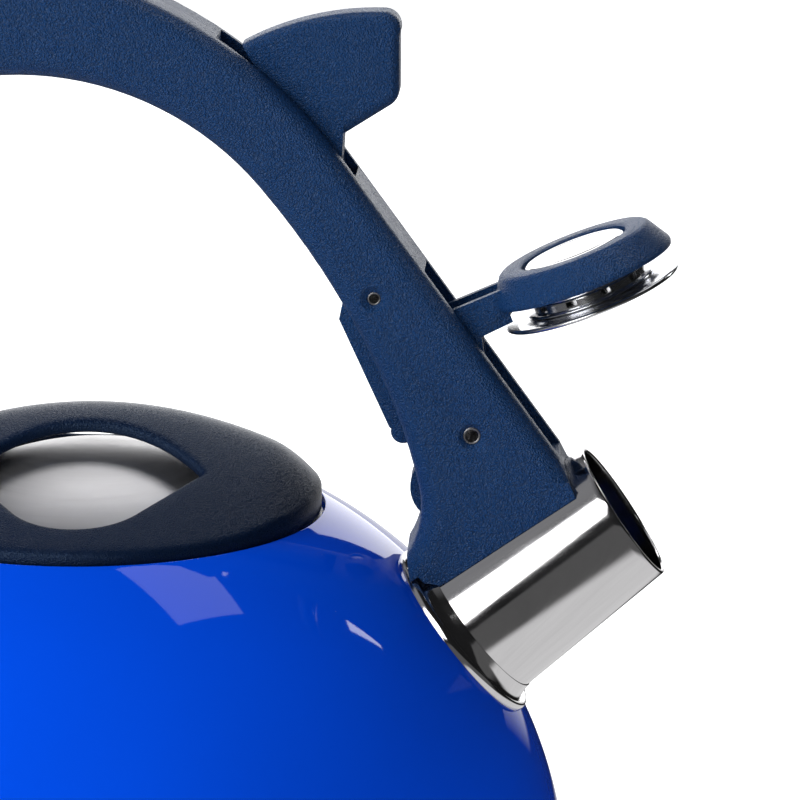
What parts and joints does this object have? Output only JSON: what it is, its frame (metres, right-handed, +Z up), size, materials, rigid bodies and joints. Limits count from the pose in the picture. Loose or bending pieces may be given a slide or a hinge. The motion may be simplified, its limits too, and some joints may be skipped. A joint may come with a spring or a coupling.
{
  "type": "stovetop whistling kettle",
  "caption": "Domed enamelled stovetop kettle with a steel spout, a thumb lever that opens its whistling cap, an arched handle and a lift-off lid with a bridge knob.",
  "frame": {"origin": "middle of the base, on the surface that the kettle stands on", "axes": "+X points the way the spout does, +Z is up, and +Y follows by the right-hand rule"},
  "size_m": [0.2422, 0.219, 0.2619],
  "materials": {
    "blue_enamel": "deep gloss enamel",
    "base_steel": "spun",
    "spout_steel": "polished",
    "lid_steel": "satin",
    "black_plastic": "satin, near black with a blue cast",
    "navy_plastic": "fine leather grain",
    "mirror_steel": "mirror",
    "whistle_steel": "bright",
    "screw_steel": "plain"
  },
  "bodies": {
    "kettle": {"body_shell": "blue_enamel", "base_disc": "base_steel", "spout_tube": "spout_steel", "spout_flange": "spout_steel", "handle_near_half": "navy_plastic", "handle_far_half": "navy_plastic", "handle_bracket": "base_steel", "handle_screws": "screw_steel", "handle_fixing_screw": "screw_steel", "trigger_pivot_pin": "screw_steel", "trigger_washers": "screw_steel", "cap_pivot_pin": "screw_steel"},
    "lid": {"lid_pan": "lid_steel", "lid_collar": "lid_steel", "lid_knob": "black_plastic", "knob_screws": "screw_steel"},
    "trigger": {"trigger_lever": "navy_plastic"},
    "cap": {"cap_arm": "navy_plastic", "cap_insert_disc": "mirror_steel", "whistle_disc": "whistle_steel", "whistle_cup": "whistle_steel", "whistle_cover": "whistle_steel", "whistle_rivet": "whistle_steel", "link_pin": "screw_steel"}
  },
  "joints": [
    {"name": "trigger_pivot", "type": "hinge", "parent": "kettle", "child": "trigger", "pos_m": [0.0647, 0, 0.1856], "axis": [0, -1, 0], "range_deg": [0, 16.2]},
    {"name": "cap_hinge", "type": "hinge", "parent": "kettle", "child": "cap", "pos_m": [0.0866, 0, 0.1544], "axis": [0, 1, 0], "range_deg": [0, 77.01]},
    {"name": "lid_lift", "type": "slide", "parent": "kettle", "child": "lid", "axis": [0, 0, 1], "range_m": [0, 0.04]}
  ],
  "couplings": [
    {"joint": "cap_hinge", "follows": "trigger_pivot", "ratio": 4.7531}
  ]
}
